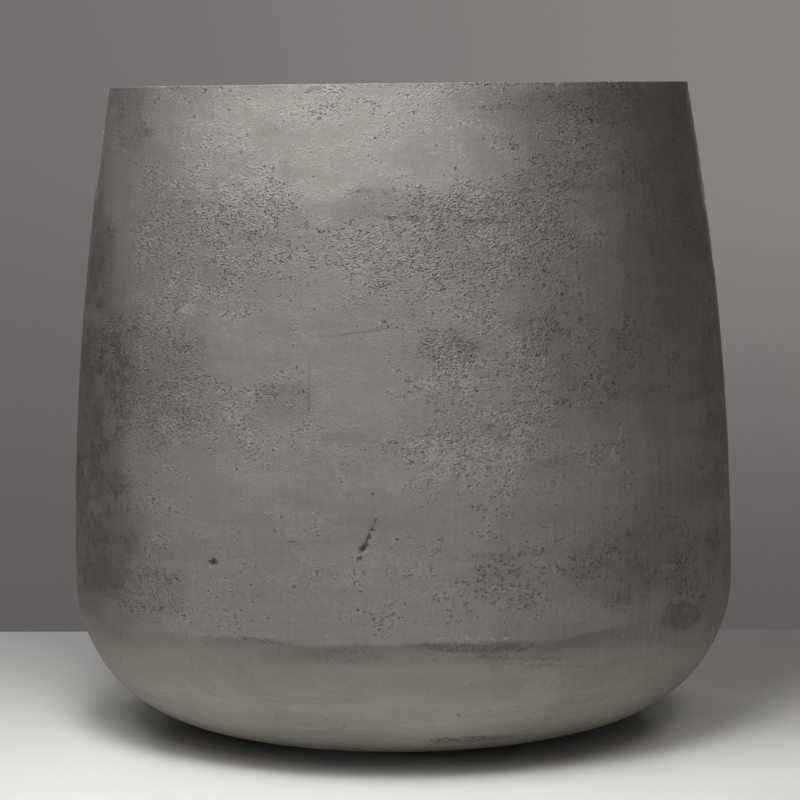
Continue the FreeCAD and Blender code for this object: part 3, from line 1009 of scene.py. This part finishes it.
# Lamps: name, place, aim, diameter, watts, spread in degrees, tint
LAMPS = [
    ("key_lamp", (-0.21, -0.45, 1.17), MIDDLE_OF_POT, 0.5, 5.3, WIDE, WHITE),
    ("front_lamp", (-0.19, -0.77, 0.82), MIDDLE_OF_POT, 0.5, 1.36, WIDE, WHITE),
    ("low_lamp", (-0.1, -1.5, 0.10), (-0.05, -0.25, 0.03), 0.1, 0.042, 35.0, WHITE),
    ("floor_lamp", (-0.1, -0.75, 1.2), (-0.02, -0.75, 0), 0.4, 2.2, 92.0, WHITE),
    ("left_back_lamp", (-0.62, 0.35, 1.6), MIDDLE_OF_POT, 1.1, 2.95, WIDE, WHITE),
    ("right_back_lamp", (0.95, 0.35, 1.6), MIDDLE_OF_POT, 1.8, 2.3, WIDE, WARM),
    ("left_low_lamp", (-0.5, 1.3, 0.45), BACK_OF_POT, 0.3, 0.55, 50.0, WHITE),
    ("right_low_lamp", (0.5, 1.3, 0.45), BACK_OF_POT, 0.3, 0.50, 50.0, WHITE),
    ("left_side_lamp", (-0.62, -0.32, 0.8), (-0.42, -0.22, 0), 0.3, 0.14, 60.0, WHITE),
    ("right_side_lamp", (0.62, -0.32, 0.8), (0.42, -0.22, 0), 0.3, 0.12, 60.0, WHITE),
]
CAMERA_DISTANCE = 2.5
CAMERA_HEIGHT = 0.559
CAMERA_PITCH = math.radians(6.19)
CAMERA_ROLL = math.radians(-0.61)
CAMERA_LENS = 123.84
CAMERA_SHIFT = -0.00225


def pale_floor():
    material, board = new_finish("pale_floor")
    place = board.add("ShaderNodeTexCoord", output="Object")
    clouds = board.noise(place, 2.0, 3.0)
    colour = board.blend(clouds, FLOOR_DARK, FLOOR_PALE)
    close_finish(board, {"Base Color": colour, "Roughness": 0.7})
    corners = [
        (-FLOOR_REACH, -FLOOR_REACH, 0),
        (FLOOR_REACH, -FLOOR_REACH, 0),
        (FLOOR_REACH, FLOOR_BACK_EDGE - FLOOR_REACH * FLOOR_BACK_SKEW, 0),
        (-FLOOR_REACH, FLOOR_BACK_EDGE + FLOOR_REACH * FLOOR_BACK_SKEW, 0),
    ]
    mesh = bpy.data.meshes.new("pale_floor")
    mesh.from_pydata(corners, [], [(0, 1, 2, 3)])
    mesh.materials.append(material)
    floor = bpy.data.objects.new("pale_floor", mesh)
    bpy.context.scene.collection.objects.link(floor)


def grey_studio():
    """A grey backdrop, paler to the upper right, that lights the scene only a little."""
    world = bpy.data.worlds.new("grey_studio")
    world.use_nodes = True
    world.node_tree.nodes.clear()
    board = Board(world.node_tree)
    toward = board.add("ShaderNodeTexCoord", output="Generated")
    sideways = board.part_of(toward, "X")
    upward = sideways.beside("Z")
    left = board.blend(board.ease(upward, -0.20, 0.04), BACKDROP_LOW, BACKDROP_LEFT)
    right = board.blend(board.ease(upward, -0.19, -0.02), BACKDROP_LOW, BACKDROP_RIGHT)
    seen = board.blend(board.ease(sideways, -0.16, 0.16), left, right)
    ray = board.add("ShaderNodeLightPath", output="Is Camera Ray")
    shown = ray.maths("MAXIMUM", ray, ray.beside("Is Glossy Ray"))
    shown = ray.maths("MAXIMUM", shown, ray.beside("Is Transmission Ray"))
    colour = board.blend(shown, BACKDROP_LIGHT, seen)
    light = board.add("ShaderNodeBackground", {}, {"Color": colour, "Strength": 1.0})
    board.add("ShaderNodeOutputWorld", {}, {"Surface": light})
    bpy.context.scene.world = world


def soft_lamp(name, place, aim, size, power, spread, tint):
    lamp = bpy.data.lights.new(name, "AREA")
    lamp.color = tint
    lamp.shape = "DISK"
    lamp.size = size
    lamp.spread = math.radians(spread)
    lamp.energy = power
    holder = bpy.data.objects.new(name, lamp)
    holder.location = place
    holder.rotation_euler = (Vector(aim) - Vector(place)).to_track_quat("-Z", "Y").to_euler()
    holder.visible_camera = False
    bpy.context.scene.collection.objects.link(holder)


def photo_camera():
    camera = bpy.data.cameras.new("camera")
    camera.lens = CAMERA_LENS
    camera.shift_x = CAMERA_SHIFT
    camera.clip_end = 50.0
    holder = bpy.data.objects.new("camera", camera)
    holder.location = (0, -CAMERA_DISTANCE, CAMERA_HEIGHT)
    level = Euler((math.radians(90) - CAMERA_PITCH, 0, 0)).to_matrix()
    holder.rotation_euler = (level @ Matrix.Rotation(CAMERA_ROLL, 3, "Z")).to_euler()
    bpy.context.scene.collection.objects.link(holder)
    bpy.context.scene.camera = holder


pale_floor()
grey_studio()
for lamp in LAMPS:
    soft_lamp(*lamp)
photo_camera()
bpy.context.scene.view_settings.view_transform = "Standard"
